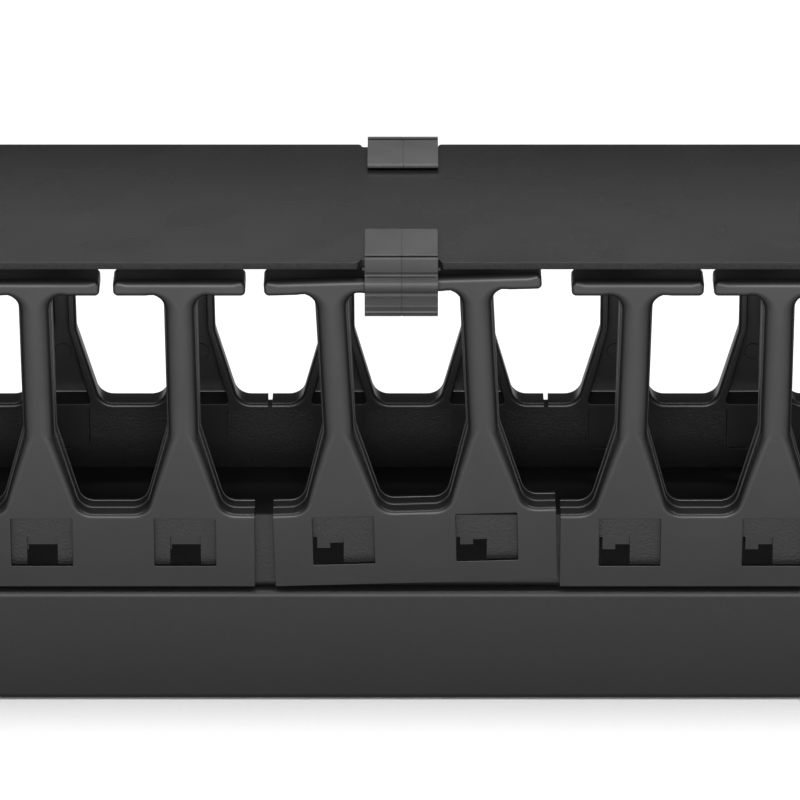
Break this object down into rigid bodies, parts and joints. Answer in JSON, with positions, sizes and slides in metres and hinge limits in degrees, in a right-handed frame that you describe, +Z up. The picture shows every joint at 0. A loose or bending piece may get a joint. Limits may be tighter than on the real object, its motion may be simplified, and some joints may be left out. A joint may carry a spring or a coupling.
{
  "type": "vertical cable manager",
  "caption": "Long black cable manager: steel duct on a mounting channel, rows of T-topped plastic fingers on both sides and a flat hinged steel cover held by snap clips.",
  "frame": {"origin": "middle of the footprint, on the surface that the mounting channel's lips stand on", "axes": "+X along the manager, +Y from the front finger row to the rear one, +Z up through the cover, lying on its back as in the picture"},
  "size_m": [0.8128, 0.1064, 0.1503],
  "materials": {
    "channel_coat": "satin black powder coat with a fine grain",
    "duct_coat": "textured black powder coat",
    "cover_coat": "satin black powder coat with a fine grain",
    "finger_plastic": "satin black moulded plastic",
    "clip_plastic": "satin black moulded plastic"
  },
  "bodies": {
    "base": {"mounting_channel": "channel_coat", "duct_channel": "duct_coat", "front_fingers_1": "finger_plastic", "front_fingers_2": "finger_plastic", "front_fingers_3": "finger_plastic", "front_fingers_4": "finger_plastic", "front_fingers_5": "finger_plastic", "front_fingers_6": "finger_plastic", "front_fingers_7": "finger_plastic", "front_fingers_8": "finger_plastic", "front_fingers_9": "finger_plastic", "rear_fingers_1": "finger_plastic", "rear_fingers_2": "finger_plastic", "rear_fingers_3": "finger_plastic", "rear_fingers_4": "finger_plastic", "rear_fingers_5": "finger_plastic", "rear_fingers_6": "finger_plastic", "rear_fingers_7": "finger_plastic", "rear_fingers_8": "finger_plastic", "rear_fingers_9": "finger_plastic", "rear_clip_lever_1": "clip_plastic", "rear_clip_lever_2": "clip_plastic", "rear_clip_lever_3": "clip_plastic"},
    "cover": {"cover_panel": "cover_coat", "front_clip_leaf_1": "clip_plastic", "front_clip_leaf_2": "clip_plastic", "front_clip_leaf_3": "clip_plastic", "rear_clip_leaf_1": "clip_plastic", "rear_clip_leaf_2": "clip_plastic", "rear_clip_leaf_3": "clip_plastic"},
    "front_lever_1": {"front_clip_lever_1": "clip_plastic"},
    "front_lever_2": {"front_clip_lever_2": "clip_plastic"},
    "front_lever_3": {"front_clip_lever_3": "clip_plastic"}
  },
  "joints": [
    {"name": "cover_hinge", "type": "hinge", "parent": "base", "child": "cover", "pos_m": [0, 0.05, 0.1486], "axis": [-1, 0, 0], "range_deg": [0, 90]},
    {"name": "front_lever_hinge_1", "type": "hinge", "parent": "cover", "child": "front_lever_1", "pos_m": [-0.2667, -0.05, 0.1486], "axis": [-1, 0, 0], "range_deg": [0, 50]},
    {"name": "front_lever_hinge_2", "type": "hinge", "parent": "cover", "child": "front_lever_2", "pos_m": [0, -0.05, 0.1486], "axis": [-1, 0, 0], "range_deg": [0, 50]},
    {"name": "front_lever_hinge_3", "type": "hinge", "parent": "cover", "child": "front_lever_3", "pos_m": [0.2667, -0.05, 0.1486], "axis": [-1, 0, 0], "range_deg": [0, 50]}
  ]
}
